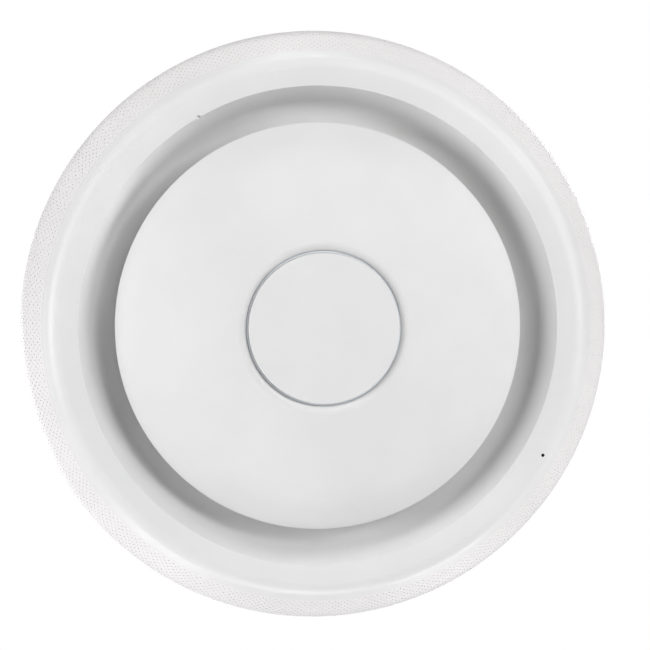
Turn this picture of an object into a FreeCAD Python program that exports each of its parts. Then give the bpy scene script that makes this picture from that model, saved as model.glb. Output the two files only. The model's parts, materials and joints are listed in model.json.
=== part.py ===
"""Ceiling access point with a built-in loudspeaker, hung from the ceiling on a twist-lock bracket.

+Z points up at the ceiling and the origin is the centre of the bracket's ceiling face, so the object lies
at negative Z and its shallow dome looks down into the room. A depth is a distance below the ceiling.
Lengths are millimetres and angles are degrees. Most pieces are turned about the Z axis.
"""
import FreeCAD
import Part
import math
import os
import re
import Sketcher

SIZES = {
    # whole object
    "overall_height": 125.9,
    "widest_radius": 143.75,
    "widest_depth": 68,
    "wall": 2.4,
    "seam": 0.15,
    "margin": 1,
    # outer side curve: a large arc up to the back, a small arc and a straight lean down to the front
    "side_arc_radius": 80,
    "side_turn": 45,
    "back_gap": 1,
    "front_arc_radius": 18.5,
    "front_lean": 35,
    "shoulder_run": 16.8,
    "shoulder_radius": 7.5,
    # perforated band and the tongues that carry its two edges
    "grille_run": 12.2,
    "grille_turn": 24,
    "grille_thickness": 2,
    "tongue_reach": 6,
    "tongue_thickness": 2.2,
    "tongue_turn": 4.3,
    "tongue_gap": 0.2,
    "tongue_step": 1.2,
    "tongue_root_turn": 0.6,
    "skin_end_turn": 2,
    "cloth_thickness": 0.4,
    "cloth_gap": 0.1,
    # sound channel round the dome
    "lip_radius": 116.1,
    "lip_depth": 95,
    "lip_back_run": 2.7,
    "lip_back_rise": 2.3,
    "floor_depth": 76,
    "floor_sheet": 1.6,
    "floor_inner_radius": 94,
    "channel_flare": 67,
    "channel_fillet": 10,
    "channel_foot_radius": 109.27,
    "channel_foot_lean": 22,
    "channel_wall_back": 109,
    "ring_gasket_inner": 101,
    "ring_gasket_outer": 107,
    "face_thickness": 2.4,
    "notch_radius": 1,
    "notch_depth": 1.2,
    "notch_x": -58.1,
    "notch_y": -100.6,
    # speaker baffle
    "baffle_front": 73.8,
    "baffle_thickness": 3,
    "baffle_radius": 124,
    "baffle_collar_radius": 60,
    "baffle_collar_depth": 77,
    "collar_taper": 4,
    "baffle_opening": 46.5,
    "cable_hole_radius": 4,
    "cable_hole_x": 66,
    "cable_hole_y": 18,
    # screws that close the housing
    "housing_screw_count": 6,
    "housing_screw_circle": 119.5,
    "housing_screw_start": 15,
    "housing_screw_radius": 1.5,
    "housing_screw_end": 84,
    "column_radius": 4,
    "column_bore": 3.2,
    "column_floor": 2.4,
    "ring_boss_radius": 3.4,
    "ring_boss_gap": 0.1,
    "screw_head_ratio": 1.85,
    "screw_head_height": 2,
    "driver_cross": 0.4,
    # bracket
    "bracket_sheet": 2,
    "bracket_radius": 52,
    "bracket_depth": 6.5,
    "bracket_opening": 24,
    "bracket_screw_circle": 42,
    "bracket_screw_radius": 2.25,
    "bracket_screw_start": 45,
    "bracket_screw_count": 4,
    "box_slot_spacing": 83.3,
    "box_slot_radius": 2.2,
    "box_slot_length": 9,
    "lug_radius": 62,
    "lug_half_width": 8,
    "lug_start": 90,
    # twist lock in the housing's back
    "recess_radius": 67,
    "recess_depth": 8,
    "claw_radius": 55,
    "claw_half_width": 7,
    "claw_top": 1.6,
    "claw_thickness": 2.5,
    "tab_notch_radius": 57.2,
    "tab_ramp_radius": 58.9,
    "tab_stop_radius": 59.4,
    "tab_low_angle": 255,
    "tab_notch_angle": 268.6,
    "tab_stop_angle": 271.6,
    "tab_high_angle": 273,
    "lever_pivot_x": 15,
    "lever_pivot_y": -61.5,
    "lever_hub": 3,
    "lever_thickness": 1.6,
    "lever_bottom": 6.3,
    "lever_arm": 2.6,
    "lever_tooth_tip": -57.5,
    "lever_tooth_half": 1.2,
    "lever_pad_x": 26,
    "lever_pad_y": -58.4,
    "pin_radius": 1,
    "pin_clearance": 0.05,
    "pin_head_radius": 1.8,
    "pin_head_height": 0.6,
    "key_groove_width": 4.4,
    "key_groove_depth": 6,
    # port pocket
    "pocket_half_width": 27,
    "pocket_front": 40,
    "pocket_back": -22,
    "pocket_depth": 30.5,
    "tray_wall": 2,
    "tray_flange": 8,
    "tray_seal_thickness": 0.5,
    "tray_seal_width": 3,
    "tray_screw_inset": 4,
    "small_screw_radius": 1.2,
    "small_screw_length": 5.6,
    # network jacks
    "jack_width": 16,
    "jack_height": 13.4,
    "jack_length": 21.5,
    "jack_offset": 9.5,
    "jack_gap": 0.2,
    "socket_width": 11.8,
    "socket_height": 7,
    "socket_length": 13,
    "socket_floor": 2.4,
    "latch_slot_width": 6,
    "latch_slot_height": 2.6,
    # boards
    "board_thickness": 1.6,
    "port_board_depth": 27.2,
    "port_board_half": 27,
    "port_board_near": -24.3,
    "port_board_far": -62,
    "standoff_radius": 3,
    "port_standoff_x": 23.5,
    "port_standoff_near": -34,
    "port_standoff_far": -58,
    "transformer_width": 16,
    "transformer_length": 13,
    "transformer_height": 11,
    "board_part_inset": 2,
    "poe_capacitor_start": -4,
    "poe_capacitor_pitch": 8.8,
    "poe_capacitor_inset": 6,
    "capacitor_radius": 4,
    "capacitor_height": 12,
    "reset_x": 23.5,
    "reset_depth": 20,
    "reset_radius": 1.5,
    "reset_clearance": 0.08,
    "reset_flange": 2.4,
    "reset_face": -21.4,
    "reset_back": -25,
    "switch_width": 4.4,
    "switch_height": 10,
    "switch_front": -25.8,
    "switch_back": -30,
    "amp_board_near": 40,
    "amp_board_far": 64,
    "amp_board_half": 26,
    "amp_standoff_near": 43.5,
    "amp_standoff_far": 60.5,
    "amp_standoff_y": 22.5,
    "amp_sink_width": 16,
    "amp_sink_length": 18,
    "amp_sink_height": 10,
    "amp_sink_fins": 4,
    "amp_sink_floor": 2,
    "amp_sink_fin": 1.6,
    "amp_capacitor_x": 5,
    "amp_capacitor_y": 8,
    # loudspeaker
    "flange_radius": 57,
    "flange_thickness": 1.5,
    "speaker_screw_circle": 54.3,
    "speaker_screw_count": 4,
    "speaker_screw_start": 45,
    "speaker_gasket_thickness": 0.5,
    "edge_thickness": 0.5,
    "edge_outer": 51,
    "roll_outer": 46.2,
    "roll_inner": 38.4,
    "roll_radius": 4.3,
    "cone_rim": 36,
    "cone_neck_depth": 60,
    "cone_thickness": 0.8,
    "cap_rim": 14,
    "cap_drop": 5,
    "former_outer": 10.25,
    "former_inner": 9.85,
    "former_top": 45,
    "pole_radius": 9.5,
    "gap_radius": 10.6,
    "yoke_radius": 28,
    "yoke_top": 35,
    "yoke_thickness": 3.5,
    "magnet_radius": 32,
    "magnet_bore": 14,
    "magnet_thickness": 8.5,
    "top_plate_radius": 29,
    "top_plate_thickness": 4,
    "basket_seat": 30.5,
    "basket_hub": 18,
    "spider_radius": 28.6,
    "spider_ledge": 25.8,
    "spider_depth": 55.4,
    "spider_thickness": 0.6,
    "window_width": 22,
    "window_near": 31.5,
    "window_far": 45,
    "window_depth": 14,
    "basket_sheet": 1.4,
    "basket_rim": 1.3,
    "basket_seat_rise": 3.2,
    "terminal_length": 14,
    "terminal_thickness": 3,
    "terminal_half_height": 3,
    # dome module
    "dome_radius": 98.35,
    "dome_edge_depth": 91.7,
    "dome_curve": 148.1,
    "dome_wall": 2.2,
    "dome_rim_wall": 3.1,
    "dome_rim_depth": 86.5,
    "dome_rim_draft": 0.9,
    "dome_screw_circle": 90,
    "dome_screw_count": 4,
    "dome_screw_start": 0,
    "dome_screw_end": 92.2,
    "dome_boss_radius": 3,
    "dome_boss_depth": 95.8,
    "dome_boss_gap": 0.1,
    "roll_start": 41.2,
    "roll_inside": 1.8,
    "groove_radius": 37,
    "groove_depth": 121.2,
    "groove_roll": 3.5,
    "groove_floor": 119.2,
    "plate_radius": 95,
    "plate_thickness": 2.2,
    "plug_depth": 80,
    "plug_radius": 30,
    "pillar_circle": 76,
    "pillar_count": 4,
    "pillar_start": 45,
    "pillar_radius": 4.5,
    "pillar_screw_radius": 1.6,
    "spreader_radius": 84,
    "spreader_depth": 89.2,
    "spreader_thickness": 2,
    "pad_half": 15,
    "main_board_depth": 92.4,
    "main_board_radius": 83,
    "main_screw_circle": 79,
    "main_screw_count": 4,
    "main_screw_start": 20,
    "shield_height": 3.4,
    "shield_half_x": 18,
    "shield_half_y": 10,
    "radio_shield_half_y": 14,
    "shield_offset": 49,
    "antenna_circle": 64,
    "antenna_count": 3,
    "low_band_start": 30,
    "low_band_length": 24,
    "high_band_start": 90,
    "high_band_length": 14,
    "antenna_lift": 2.5,
    "antenna_leg": 2,
    "antenna_leg_gap": 3,
    "antenna_height": 8.5,
    "antenna_sheet": 0.5,
    "carrier_radius": 32,
    "carrier_wall": 2,
    "carrier_top": 113.5,
    "carrier_flange": 1.5,
    "carrier_rim": 0.5,
    "led_board_inner": 33,
    "led_board_outer": 43,
    "led_circle": 37,
    "led_count": 12,
    "led_half": 0.9,
    "led_height": 1.2,
    "guide_inner": 33.5,
    "guide_outer": 42,
    "guide_depth": 116.9,
    "guide_thickness": 2,
    "guide_neck_inner": 36,
    "guide_neck_outer": 36.8,
    "guide_neck_depth": 121.4,
    "cap_radius": 35.85,
    "cap_edge_depth": 124.7,
    "cap_round": 0.5,
    "cap_wall": 2,
    # microphone behind the ring
    "mic_circle": 126.1,
    "mic_angle": 30,
    "mic_hole_radius": 0.85,
    "mic_seat_radius": 2.7,
    "mic_seat_depth": 91.2,
    "mic_seat_base": 93.6,
    "mic_boot_radius": 2.3,
    "mic_boot_height": 2.5,
    "mic_board_half_angle": 2.6,
    "mic_board_half_width": 2.3,
    "mic_board_thickness": 1.2,
    "mic_half_angle": 0.9,
    "mic_half_width": 1.9,
    "mic_height": 1.1,
    # leads
    "lead_radius": 0.9,
    "lead_reach": 11,
    "lead_rise": 9,
    "lead_inset": 8,
    "link_radius": 1.6,
    "link_board_x": 21.5,
    "link_board_y": -52,
    "link_straight": 17,
    "link_drop": 24,
}

CCW, CW = 1, -1
UP = FreeCAD.Vector(0, 0, 1)
doc = FreeCAD.newDocument("CeilingAccessPoint")
sheet = doc.addObject("Spreadsheet::Sheet", "Sizes")
nodes = []


def fill_sheet():
    for row, (alias, size) in enumerate(SIZES.items(), 1):
        sheet.set(f"A{row}", alias)
        sheet.set(f"B{row}", str(size))
        sheet.setAlias(f"B{row}", alias)
    doc.recompute()


def bound(words):
    """The expression, with each word of the sheet written so that any object can read it."""
    return re.sub(r"\b([a-z][a-z_]*)\b(?!\()", r"Sizes.\1", str(words))


def value(words):
    found = sheet.evalExpression(bound(words))
    return float(getattr(found, "Value", found))


def count(words):
    return int(round(value(words)))


def less(words, other):
    return f"(({words}) - ({other}))"


def plus(words, other):
    return f"(({words}) + ({other}))"


def minus(words):
    return f"(-({words}))"


# ---- sketches and solids -------------------------------------------------------------------------


def origin_feature(body, role):
    return next(f for f in body.Origin.OriginFeatures if f.Role == role)


def arc_between(start, finish, radius, turn):
    chord = finish - start
    half = chord.Length / 2
    rise = radius - (radius * radius - half * half) ** 0.5
    right = FreeCAD.Vector(chord.y, -chord.x, 0).normalize()
    middle = (start + finish) * 0.5 + right * (rise * turn)
    if turn == CCW:
        return Part.Arc(start, middle, finish), (1, 2)
    return Part.Arc(finish, middle, start), (2, 1)


def held(sketch, kind, axis, geometry, end, words):
    """Pins one coordinate of a sketch point to a word of the sheet, or to the axis where it is zero."""
    size = value(words)
    if abs(size) < 1e-7:
        sketch.addConstraint(Sketcher.Constraint("PointOnObject", geometry, end, axis))
        return
    number = sketch.addConstraint(Sketcher.Constraint(kind, -1, 1, geometry, end, size))
    sketch.setExpression(f"Constraints[{number}]", bound(words))


def outline(body, plane, points, offset=0):
    """Closed sketch through points (x, y). A point (x, y, radius, turn) ends an arc, not a straight run."""
    sketch = body.newObject("Sketcher::SketchObject", body.Name + "_outline")
    sketch.AttachmentSupport = [(origin_feature(body, plane), "")]
    sketch.MapMode = "FlatFace"
    sketch.setExpression("AttachmentOffset.Base.z", bound(offset))
    spots = [FreeCAD.Vector(value(p[0]), value(p[1]), 0) for p in points]
    ends = []
    for number, point in enumerate(points):
        start, finish = spots[number - 1], spots[number]
        if len(point) == 2:
            run, order = Part.LineSegment(start, finish), (1, 2)
        else:
            run, order = arc_between(start, finish, value(point[2]), point[3])
        sketch.addGeometry(run, False)
        ends.append(order)
    for number, point in enumerate(points):
        after = (number + 1) % len(points)
        end = ends[number][1]
        sketch.addConstraint(Sketcher.Constraint("Coincident", number, end, after, ends[after][0]))
        held(sketch, "DistanceX", -2, number, end, point[0])
        held(sketch, "DistanceY", -1, number, end, point[1])
        if len(point) > 2:
            radius = sketch.addConstraint(Sketcher.Constraint("Radius", number, value(point[2])))
            sketch.setExpression(f"Constraints[{radius}]", bound(point[2]))
    return sketch


def new_body(name):
    body = doc.addObject("PartDesign::Body", name)
    body.Label = name
    return body


def turned(name, points):
    """A body turned about Z from a closed outline of (radius, height) points."""
    body = new_body(name)
    revolution = body.newObject("PartDesign::Revolution", name + "_turned")
    sketch = outline(body, "XZ_Plane", points)
    revolution.Profile = sketch
    revolution.ReferenceAxis = (sketch, ["V_Axis"])
    revolution.Angle = 360
    body.Tip = revolution
    return body


def ring(name, inner, outer, top, thickness):
    """A flat ring or, with an inner radius of 0, a disc; top is a depth."""
    high, low = minus(top), minus(plus(top, thickness))
    return turned(name, [(inner, high), (inner, low), (outer, low), (outer, high)])


def plate(name, points, bottom, thickness, copies=None):
    """A body padded up from the height bottom, repeated round the Z axis if copies names a count."""
    body = new_body(name)
    pad = body.newObject("PartDesign::Pad", name + "_pad")
    pad.Profile = outline(body, "XY_Plane", points, bottom)
    pad.setExpression("Length", bound(thickness))
    body.Tip = pad
    if copies:
        pattern = body.newObject("PartDesign::PolarPattern", name + "_pattern")
        pattern.Originals = [pad]
        pattern.Axis = (origin_feature(body, "Z_Axis"), [""])
        pattern.Angle = 360
        pattern.Occurrences = copies
        body.Tip = pattern
    return body


def primitive(kind, name, sizes, place, towards=UP):
    piece = doc.addObject(kind, name)
    piece.Label = name
    piece.Placement = FreeCAD.Placement(FreeCAD.Vector(), FreeCAD.Rotation(UP, towards))
    for size, words in sizes.items():
        piece.setExpression(size, bound(words))
    for axis, words in zip("xyz", place):
        piece.setExpression(f"Placement.Base.{axis}", bound(words))
    return piece


def block(name, low, high):
    """A box between two corners."""
    sizes = {side: less(high[i], low[i]) for i, side in enumerate(("Length", "Width", "Height"))}
    return primitive("Part::Box", name, sizes, low)


def rod(name, radius, foot, length, towards=UP):
    return primitive("Part::Cylinder", name, {"Radius": radius, "Height": length}, foot, towards)


def group(name, pieces):
    compound = doc.addObject("Part::Compound", name)
    compound.Label = name
    compound.Links = list(pieces)
    return compound


def cut(name, base, *tools):
    result = doc.addObject("Part::Cut", name)
    result.Label = name
    result.Base = base
    result.Tool = tools[0] if len(tools) == 1 else group(name + "_tools", tools)
    return result


def common(name, base, tool):
    result = doc.addObject("Part::Common", name)
    result.Label = name
    result.Base = base
    result.Tool = tool
    return result


def fuse(name, *pieces):
    result = doc.addObject("Part::MultiFuse", name)
    result.Label = name
    result.Shapes = list(pieces)
    result.Refine = True
    return result


def round_about(circle, copies, start):
    """Positions (x, y) in words, evenly spaced on a circle."""
    total = count(copies)
    for number in range(total):
        angle = f"({start} + {number} * 360 / {total})"
        yield f"({circle} * cos({angle}))", f"({circle} * sin({angle}))"


def corners(half_x, near_y, far_y):
    for x in (half_x, minus(half_x)):
        for y in (near_y, far_y):
            yield x, y


def screw(name, radius, place, seat, tip, head_down=False):
    """A pan-head screw on a vertical axis: seat is the depth of its head's underside, tip that of its end."""
    x, y = place
    head_radius = f"({radius} * screw_head_ratio)"
    if head_down:
        shank = rod(name + "_shank", radius, (x, y, minus(seat)), less(seat, tip))
        head = rod(name + "_head", head_radius, (x, y, minus(plus(seat, "screw_head_height"))),
                   "screw_head_height")
        slot_height = minus(plus(seat, "screw_head_height"))
    else:
        shank = rod(name + "_shank", radius, (x, y, minus(tip)), less(tip, seat))
        head = rod(name + "_head", head_radius, (x, y, minus(seat)), "screw_head_height")
        slot_height = less(minus(seat), less("driver_cross", "screw_head_height"))
    long = f"({radius} * 1.1)"
    short = f"({radius} * 0.25)"
    low, high = slot_height, plus(slot_height, "driver_cross")
    across = block(name + "_cross_x", (less(x, long), less(y, short), low),
                   (plus(x, long), plus(y, short), high))
    along = block(name + "_cross_y", (less(x, short), less(y, long), low),
                  (plus(x, short), plus(y, long), high))
    whole = fuse(name + "_blank", shank, head)
    return cut(name, whole, fuse(name + "_cross", across, along))


def screws(name, places, radius, seat, tip, head_down=False):
    made = [screw(f"{name}_{n}", radius, spot, seat, tip, head_down) for n, spot in enumerate(places, 1)]
    return node(group(name, made))


def node(piece):
    nodes.append(piece)
    return piece


# ---- the outer side curve, as points (radius, height) in words -----------------------------------


def side_point(turn, inset=0):
    """On the large side arc, turn degrees above the widest line and inset below the skin."""
    reach = less("side_arc_radius", inset)
    centre = less("widest_radius", "side_arc_radius")
    return (
        plus(centre, f"{reach} * cos({turn})"),
        plus("(-widest_depth)", f"{reach} * sin({turn})"),
    )


def lean_point(run, inset=0):
    """On the straight lean below the front arc, run millimetres down it and inset below the skin."""
    reach = less("front_arc_radius", inset)
    centre = less("widest_radius", "front_arc_radius")
    return (
        plus(centre, f"{reach} * cos(front_lean) - ({run}) * sin(front_lean)"),
        plus("(-widest_depth)", f"-({reach}) * sin(front_lean) - ({run}) * cos(front_lean)"),
    )


def shoulder_crest(inset=0):
    """The lowest point of the rounded shoulder between the lean and the ring's flat face."""
    x, y = lean_point("shoulder_run", "shoulder_radius")
    return x, less(y, less("shoulder_radius", inset))


SHELF_DEPTH = "(widest_depth - side_arc_radius * sin(side_turn))"
CORNER_RADIUS = f"(({SHELF_DEPTH} - back_gap) / (1 - sin(side_turn)))"
BACK_FLAT_RADIUS = less(side_point("side_turn")[0], f"{CORNER_RADIUS} * cos(side_turn)")
TONGUE_OUTER = "(grille_thickness + tongue_gap)"
TONGUE_INNER = "(grille_thickness + tongue_gap + tongue_thickness)"
BAFFLE_BACK = "(baffle_front - baffle_thickness)"
FLOOR_UNDER = "(recess_depth + wall)"


# ---- bracket and twist lock ----------------------------------------------------------------------


def polar(radius, angle):
    return f"({radius} * cos({angle}))", f"({radius} * sin({angle}))"


def sector(inner, outer, half_width, middle):
    """A four-sided sector with straight ends, anticlockwise."""
    low, high = less(middle, half_width), plus(middle, half_width)
    return [
        polar(inner, low),
        polar(outer, low),
        (*polar(outer, high), outer, CCW),
        polar(inner, high),
    ]


def make_bracket():
    inner_wall = "(bracket_radius - bracket_sheet)"
    dish = turned("bracket_dish", [
        ("bracket_opening", 0),
        ("bracket_opening", minus("bracket_sheet")),
        (inner_wall, minus("bracket_sheet")),
        (inner_wall, minus("bracket_depth")),
        ("bracket_radius", minus("bracket_depth")),
        ("bracket_radius", 0),
    ])
    lug_base = minus("bracket_depth")
    root = "(bracket_radius - bracket_sheet / 2)"
    lugs = plate("bracket_lugs", sector(root, "lug_radius", "lug_half_width", "lug_start"), lug_base,
                 "bracket_sheet", 3)
    tab = plate("bracket_lock_tab", [
        polar(root, "tab_low_angle"),
        polar("tab_ramp_radius", "tab_low_angle"),
        polar("tab_notch_radius", "tab_notch_angle"),
        polar("tab_notch_radius", "tab_stop_angle"),
        polar("tab_stop_radius", "tab_stop_angle"),
        polar("tab_stop_radius", "tab_high_angle"),
        polar(root, "tab_high_angle"),
    ], lug_base, "bracket_sheet")
    through = "(bracket_sheet * 2)"
    under = minus("bracket_sheet * 1.5")
    holes = [
        rod(f"bracket_screw_hole_{n}", "bracket_screw_radius", (x, y, under), through)
        for n, (x, y) in enumerate(round_about("bracket_screw_circle", "bracket_screw_count",
                                               "bracket_screw_start"), 1)
    ]
    straight = "(box_slot_length / 2 - box_slot_radius)"
    for side, sign in (("right", ""), ("left", "-")):
        middle = f"({sign}box_slot_spacing / 2)"
        ends = [
            rod(f"box_slot_{side}_{end}", "box_slot_radius",
                (f"({middle} {end_sign} {straight})", 0, under), through)
            for end, end_sign in (("low", "-"), ("high", "+"))
        ]
        web = block(f"box_slot_{side}_web",
                    (less(middle, straight), "(-box_slot_radius)", under),
                    (plus(middle, straight), "box_slot_radius", plus(under, through)))
        holes.append(fuse(f"box_slot_{side}", *ends, web))
    node(cut("ceiling_bracket", fuse("bracket_blank", dish, lugs, tab), *holes))


def make_lock_lever():
    x, y, bottom = "lever_pivot_x", "lever_pivot_y", minus("lever_bottom")
    half = "(lever_arm / 2)"
    hub = rod("lever_hub_disc", "lever_hub", (x, y, bottom), "lever_thickness")
    arm = plate("lever_arms", [
        (minus("lever_tooth_half"), "lever_tooth_tip"),
        (minus("lever_tooth_half * 2.2"), less(y, half)),
        (x, less(y, "lever_hub * 0.9")),
        (plus("lever_pad_x", "lever_tooth_half"), less("lever_pad_y", half)),
        (plus("lever_pad_x", "lever_tooth_half"), plus("lever_pad_y", half)),
        (plus(x, "lever_hub"), plus(y, half)),
        ("lever_tooth_half * 1.25", plus(y, half)),
        ("lever_tooth_half", "lever_tooth_tip"),
    ], bottom, "lever_thickness")
    hole = rod("lever_bore", "(pin_radius + pin_clearance)", (x, y, less(bottom, "lever_thickness")),
               "lever_thickness * 3")
    node(cut("lock_lever", fuse("lever_blank", hub, arm), hole))
    top = "(lever_bottom - lever_thickness - seam * 2)"
    shaft = rod("lever_pin_shaft", "pin_radius", (x, y, minus("recess_depth")), less("recess_depth", top))
    head = rod("lever_pin_head", "pin_head_radius", (x, y, minus(top)), "pin_head_height")
    node(fuse("lock_lever_pin", shaft, head))


# ---- rear housing --------------------------------------------------------------------------------


def rear_envelope():
    """The solid that fills the rear housing's outer skin, used to trim its inner columns."""
    return turned("rear_envelope", [
        (0, minus("back_gap + wall / 2")),
        (0, minus(BAFFLE_BACK)),
        (side_point("0", "wall / 2")[0], minus(BAFFLE_BACK)),
        side_point("0", "wall / 2"),
        (*side_point("side_turn", "wall / 2"), "side_arc_radius - wall / 2", CCW),
        (BACK_FLAT_RADIUS, minus("back_gap + wall / 2"), f"{CORNER_RADIUS} - wall / 2", CCW),
    ])


def rear_shell():
    tongue_start = "(grille_turn - tongue_turn)"
    inner = "(side_arc_radius - {})"
    return turned("rear_shell", [
        side_point("grille_turn"),
        (*side_point("side_turn"), "side_arc_radius", CCW),
        (BACK_FLAT_RADIUS, "-back_gap", CORNER_RADIUS, CCW),
        ("recess_radius", "-back_gap"),
        ("recess_radius", "-recess_depth"),
        (0, "-recess_depth"),
        (0, minus(FLOOR_UNDER)),
        ("recess_radius + wall", minus(FLOOR_UNDER)),
        ("recess_radius + wall", minus("back_gap + wall")),
        (BACK_FLAT_RADIUS, minus("back_gap + wall")),
        (*side_point("side_turn", "wall"), f"({CORNER_RADIUS} - wall)", CW),
        (*side_point("grille_turn + skin_end_turn", "wall"), inner.format("wall"), CW),
        side_point("grille_turn + tongue_root_turn", TONGUE_INNER),
        (*side_point(tongue_start, TONGUE_INNER), inner.format(TONGUE_INNER), CW),
        side_point(tongue_start, TONGUE_OUTER),
        (*side_point("grille_turn", TONGUE_OUTER), inner.format(TONGUE_OUTER), CCW),
    ])


def housing_places():
    return round_about("housing_screw_circle", "housing_screw_count", "housing_screw_start")


def port_standoffs():
    return corners("port_standoff_x", "port_standoff_near", "port_standoff_far")


def amp_standoffs():
    return [(x, y) for x in ("amp_standoff_near", "amp_standoff_far") for y in ("amp_standoff_y",
                                                                                "(-amp_standoff_y)")]


def tray_screw_places():
    reach = "(tray_flange - tray_screw_inset)"
    return corners(f"(pocket_half_width + {reach})", f"(pocket_back - {reach})", f"(pocket_front + {reach})")


def make_rear_housing():
    ribs = [
        rod(f"column_{n}", "column_radius", (x, y, minus(BAFFLE_BACK)), BAFFLE_BACK)
        for n, (x, y) in enumerate(housing_places(), 1)
    ]
    channel_half = "(key_groove_width / 2 + wall)"
    ribs.append(block("key_channel",
                      (less("lever_pad_x", channel_half), "(-widest_radius)",
                       minus("key_groove_depth + wall")),
                      (plus("lever_pad_x", channel_half), "(-recess_radius + wall)", 0)))
    trimmed = common("trimmed_ribs", group("ribs", ribs), rear_envelope())
    claws = plate("claws", sector("claw_radius", "recess_radius + 1", "claw_half_width", "lug_start"),
                  minus("claw_top + claw_thickness"), "claw_thickness", 3)
    board_top = minus("port_board_depth")
    posts = [
        rod(f"board_post_{n}", "standoff_radius", (x, y, board_top),
            f"(port_board_depth - {FLOOR_UNDER} + wall / 2)")
        for n, (x, y) in enumerate([*port_standoffs(), *amp_standoffs()], 1)
    ]
    blank = fuse("rear_blank", rear_shell(), trimmed, claws, *posts)
    holes = [
        rod(f"column_bore_{n}", "column_bore", (x, y, minus(less(BAFFLE_BACK, "column_floor"))), BAFFLE_BACK)
        for n, (x, y) in enumerate(housing_places(), 1)
    ]
    holes += [
        rod(f"column_hole_{n}", "housing_screw_radius + seam", (x, y, minus(plus(BAFFLE_BACK, 1))),
            "column_floor + 2")
        for n, (x, y) in enumerate(housing_places(), 1)
    ]
    holes += [
        rod(f"post_hole_{n}", "small_screw_radius", (x, y, minus("port_board_depth + 1")),
            "small_screw_length + 1")
        for n, (x, y) in enumerate([*port_standoffs(), *amp_standoffs()], 1)
    ]
    holes += [
        rod(f"tray_hole_{n}", "small_screw_radius", (x, y, minus(plus(FLOOR_UNDER, 1))), "wall / 2 + 1")
        for n, (x, y) in enumerate(tray_screw_places(), 1)
    ]
    half_groove = "(key_groove_width / 2)"
    holes.append(block("key_groove",
                       (less("lever_pad_x", half_groove), "(-widest_radius)", "(-key_groove_depth)"),
                       (plus("lever_pad_x", half_groove), "(-recess_radius + wall * 3)", 1)))
    holes.append(block("pocket_window",
                       ("(-pocket_half_width)", "pocket_back", minus(plus(FLOOR_UNDER, 1))),
                       ("pocket_half_width", "pocket_front", minus("recess_depth - 1"))))
    node(cut("rear_housing", blank, *holes))
    screws("housing_screws", housing_places(), "housing_screw_radius", less(BAFFLE_BACK, "column_floor"),
           "housing_screw_end")


def make_port_tray():
    seal_under = plus(FLOOR_UNDER, "tray_seal_thickness")
    flange_under = plus(seal_under, "tray_wall")
    inside_low = ("(-pocket_half_width)", "pocket_back", "(-pocket_depth)")
    inside_high = ("pocket_half_width", "pocket_front", minus(less(seal_under, 1)))
    outside = block("tray_tub",
                    ("(-pocket_half_width - tray_wall)", "(pocket_back - tray_wall)",
                     "(-pocket_depth - tray_wall)"),
                    ("(pocket_half_width + tray_wall)", "(pocket_front + tray_wall)", minus(seal_under)))
    flange = block("tray_flange_plate",
                   ("(-pocket_half_width - tray_flange)", "(pocket_back - tray_flange)", minus(flange_under)),
                   ("(pocket_half_width + tray_flange)", "(pocket_front + tray_flange)", minus(seal_under)))
    holes = [block("tray_inside", inside_low, inside_high)]
    for name, middle in (("main", "(-jack_offset)"), ("secondary", "jack_offset")):
        holes.append(block(f"jack_window_{name}",
                           (f"({middle} - jack_width / 2 - jack_gap)", "(pocket_back - tray_wall - 1)",
                            "(-port_board_depth - jack_gap)"),
                           (f"({middle} + jack_width / 2 + jack_gap)", "(pocket_back + 1)",
                            "(-port_board_depth + jack_height + jack_gap)")))
    holes.append(rod("reset_hole", "reset_radius + reset_clearance",
                     ("reset_x", "pocket_back + 1", "(-reset_depth)"),
                     "tray_wall + 2", FreeCAD.Vector(0, -1, 0)))
    holes += [
        rod(f"tray_flange_hole_{n}", "small_screw_radius", (x, y, minus(plus(flange_under, 1))),
            "tray_wall + 2")
        for n, (x, y) in enumerate(tray_screw_places(), 1)
    ]
    node(cut("port_tray", fuse("tray_blank", outside, flange), *holes))
    seal_low, seal_high = minus(seal_under), minus(FLOOR_UNDER)
    seal_out = "tray_seal_width"
    node(cut("tray_seal",
             block("seal_sheet",
                   (f"(-pocket_half_width - {seal_out})", f"(pocket_back - {seal_out})", seal_low),
                   (f"(pocket_half_width + {seal_out})", f"(pocket_front + {seal_out})", seal_high)),
             block("seal_window",
                   ("(-pocket_half_width)", "pocket_back", less(seal_low, 1)),
                   ("pocket_half_width", "pocket_front", plus(seal_high, 1)))))
    screws("tray_screws", tray_screw_places(), "small_screw_radius", flange_under,
           plus("recess_depth", "wall / 2"), True)


# ---- port board ----------------------------------------------------------------------------------


def make_jack(name, middle):
    """A shielded eight-way network jack whose mouth faces +Y."""
    low = ("({0} - jack_width / 2)", "(pocket_back - jack_length)", "(-port_board_depth)")
    shell = block(name + "_shell",
                  (low[0].format(middle), low[1], low[2]),
                  (f"({middle} + jack_width / 2)", "pocket_back", "(-port_board_depth + jack_height)"))
    foot = "(-port_board_depth + socket_floor)"
    socket = block(name + "_socket",
                   (f"({middle} - socket_width / 2)", "(pocket_back - socket_length)", foot),
                   (f"({middle} + socket_width / 2)", "(pocket_back + 1)", f"({foot} + socket_height)"))
    latch = block(name + "_latch_slot",
                  (f"({middle} - latch_slot_width / 2)", "(pocket_back - socket_length / 2)", foot),
                  (f"({middle} + latch_slot_width / 2)", "(pocket_back + 1)",
                   f"({foot} + socket_height + latch_slot_height)"))
    node(cut(name, shell, fuse(name + "_mouth", socket, latch)))


def board_with_holes(name, low, high, places):
    under = plus(low[2], -1)
    holes = [
        rod(f"{name}_hole_{n}", "small_screw_radius + seam", (x, y, under), "board_thickness + 2")
        for n, (x, y) in enumerate(places, 1)
    ]
    node(cut(name, block(name + "_sheet", low, high), *holes))


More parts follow.
